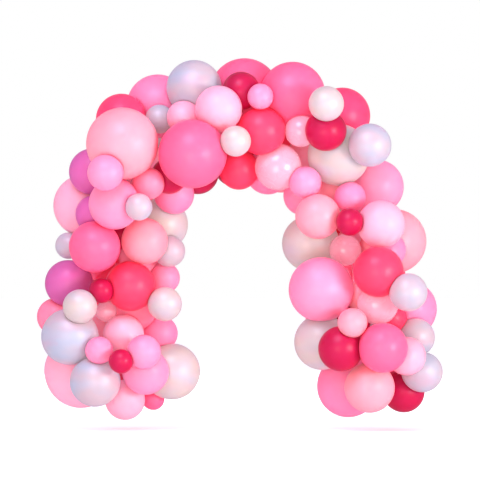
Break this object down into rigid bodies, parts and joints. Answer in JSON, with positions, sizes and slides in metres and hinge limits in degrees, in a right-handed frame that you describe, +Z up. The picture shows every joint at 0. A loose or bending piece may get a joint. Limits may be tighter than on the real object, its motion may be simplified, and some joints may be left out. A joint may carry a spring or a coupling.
{
  "type": "balloon garland arch",
  "caption": "Arch-shaped garland of pink, red and pearl latex balloons in mixed sizes, tied along a clear strip and hung from hooks.",
  "frame": {"origin": "middle of the underside of the strip at the crown of the arch, where a wall hook carries the garland", "axes": "+Z up; X across the arch; -Y towards the viewer, the side with the most balloons; +Y towards the wall"},
  "size_m": [1.8186, 0.937, 1.6204],
  "materials": {
    "pale_lilac_latex": "soft gloss, very pale lilac latex",
    "candy_pink_latex": "soft gloss, candy pink latex",
    "hot_pink_latex": "soft gloss, hot pink latex",
    "salmon_pink_latex": "soft gloss, salmon pink latex",
    "lilac_pink_latex": "soft gloss, pale lilac pink latex",
    "blush_pink_latex": "soft gloss, pale blush pink latex",
    "rose_pink_latex": "soft gloss, rose pink latex",
    "coral_red_latex": "soft gloss, coral red latex",
    "crimson_latex": "soft gloss, crimson latex",
    "orchid_latex": "soft gloss, orchid magenta latex",
    "pearl_latex": "pearlescent, silver white latex",
    "cream_pearl_latex": "pearlescent, warm white latex",
    "clear_pink_latex": "thin, half see-through pink latex",
    "clear_strip": "clear, smooth plastic"
  },
  "bodies": {
    "root": {"left_leg_01": "pale_lilac_latex", "left_leg_02": "pearl_latex", "left_leg_03": "pearl_latex", "left_leg_04": "pale_lilac_latex", "left_leg_05": "cream_pearl_latex", "left_leg_06": "crimson_latex", "left_leg_07": "pale_lilac_latex", "left_leg_08": "coral_red_latex", "left_leg_09": "cream_pearl_latex", "left_leg_10": "clear_pink_latex", "left_leg_11": "orchid_latex", "left_leg_12": "rose_pink_latex", "left_leg_13": "blush_pink_latex", "left_leg_14": "cream_pearl_latex", "left_leg_15": "pearl_latex", "left_leg_16": "salmon_pink_latex", "left_leg_17": "lilac_pink_latex", "left_leg_18": "blush_pink_latex", "left_leg_19": "orchid_latex", "left_leg_20": "pale_lilac_latex", "left_leg_21": "candy_pink_latex", "left_leg_22": "salmon_pink_latex", "left_leg_23": "crimson_latex", "left_leg_24": "rose_pink_latex", "left_leg_25": "coral_red_latex", "left_leg_26": "lilac_pink_latex", "left_leg_27": "rose_pink_latex", "crown_01": "pearl_latex", "crown_02": "rose_pink_latex", "crown_03": "pale_lilac_latex", "crown_04": "rose_pink_latex", "crown_05": "coral_red_latex", "crown_06": "coral_red_latex", "crown_07": "crimson_latex", "crown_08": "hot_pink_latex", "crown_09": "cream_pearl_latex", "crown_10": "pearl_latex", "crown_11": "blush_pink_latex", "crown_12": "coral_red_latex", "crown_13": "blush_pink_latex", "crown_14": "lilac_pink_latex", "right_leg_01": "lilac_pink_latex", "right_leg_02": "blush_pink_latex", "right_leg_03": "pale_lilac_latex", "right_leg_04": "lilac_pink_latex", "right_leg_05": "blush_pink_latex", "right_leg_06": "coral_red_latex", "right_leg_07": "cream_pearl_latex", "right_leg_08": "lilac_pink_latex", "right_leg_09": "crimson_latex", "right_leg_10": "pearl_latex", "right_leg_11": "cream_pearl_latex", "right_leg_12": "candy_pink_latex", "right_leg_13": "rose_pink_latex", "right_leg_14": "candy_pink_latex", "right_leg_15": "cream_pearl_latex", "right_leg_16": "coral_red_latex", "right_leg_17": "blush_pink_latex", "right_leg_18": "rose_pink_latex", "balloon_strip": "clear_strip"}
  },
  "joints": []
}
